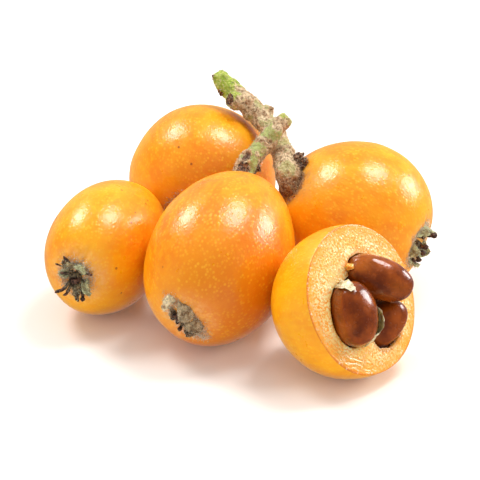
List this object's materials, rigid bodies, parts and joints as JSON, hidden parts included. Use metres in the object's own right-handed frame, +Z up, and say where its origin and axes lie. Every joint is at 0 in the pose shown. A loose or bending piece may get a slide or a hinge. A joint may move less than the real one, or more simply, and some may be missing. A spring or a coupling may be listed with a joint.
{
  "type": "loquat cluster",
  "caption": "Cluster of ripe orange loquats lying together on a level surface, whole fruits with woody stalks and a cut half showing its glossy brown seeds.",
  "frame": {"origin": "middle of the cluster's bounding box, on the surface that the fruits lie on", "axes": "+Z up; +X to the right and +Y away from someone who faces the cut half and the calyx ends"},
  "size_m": [0.1076, 0.1203, 0.0499],
  "materials": {
    "skin": "thin ripe fruit skin, orange-yellow with pale dots, soft sheen",
    "cut_fruit": "orange skin outside, wet pale peach flesh on the cut face",
    "seed": "wet glossy chestnut-brown seed coat",
    "seed_skin": "thin cream-green skin between the seeds",
    "stalk": "green-brown woolly stalk with dark leaf scars",
    "sepal": "grey-green woolly sepal, drying brown at the tip",
    "stamens": "dried dark brown stamen threads"
  },
  "bodies": {
    "root": {"fruit_left": "skin", "fruit_front": "skin", "fruit_back_left": "skin", "fruit_back_right": "skin", "fruit_half": "cut_fruit", "seed_upper": "seed", "seed_front": "seed", "seed_lower": "seed", "seed_membrane": "seed_skin", "seed_membrane_flap": "seed_skin", "stem_front": "stalk", "stem_back_right": "stalk", "stem_back_left": "stalk", "sepal_left_1": "sepal", "sepal_left_2": "sepal", "sepal_left_3": "sepal", "sepal_left_4": "sepal", "sepal_left_5": "sepal", "sepal_front_1": "sepal", "sepal_front_2": "sepal", "sepal_front_3": "sepal", "sepal_front_4": "sepal", "sepal_front_5": "sepal", "sepal_back_left_1": "sepal", "sepal_back_left_2": "sepal", "sepal_back_left_3": "sepal", "sepal_back_left_4": "sepal", "sepal_back_left_5": "sepal", "sepal_back_right_1": "sepal", "sepal_back_right_2": "sepal", "sepal_back_right_3": "sepal", "sepal_back_right_4": "sepal", "sepal_back_right_5": "sepal", "sepal_half_1": "sepal", "sepal_half_2": "sepal", "sepal_half_3": "sepal", "sepal_half_4": "sepal", "sepal_half_5": "sepal", "stamens_left": "stamens", "stamens_front": "stamens", "stamens_back_left": "stamens", "stamens_back_right": "stamens", "stamens_half": "stamens"}
  },
  "joints": []
}
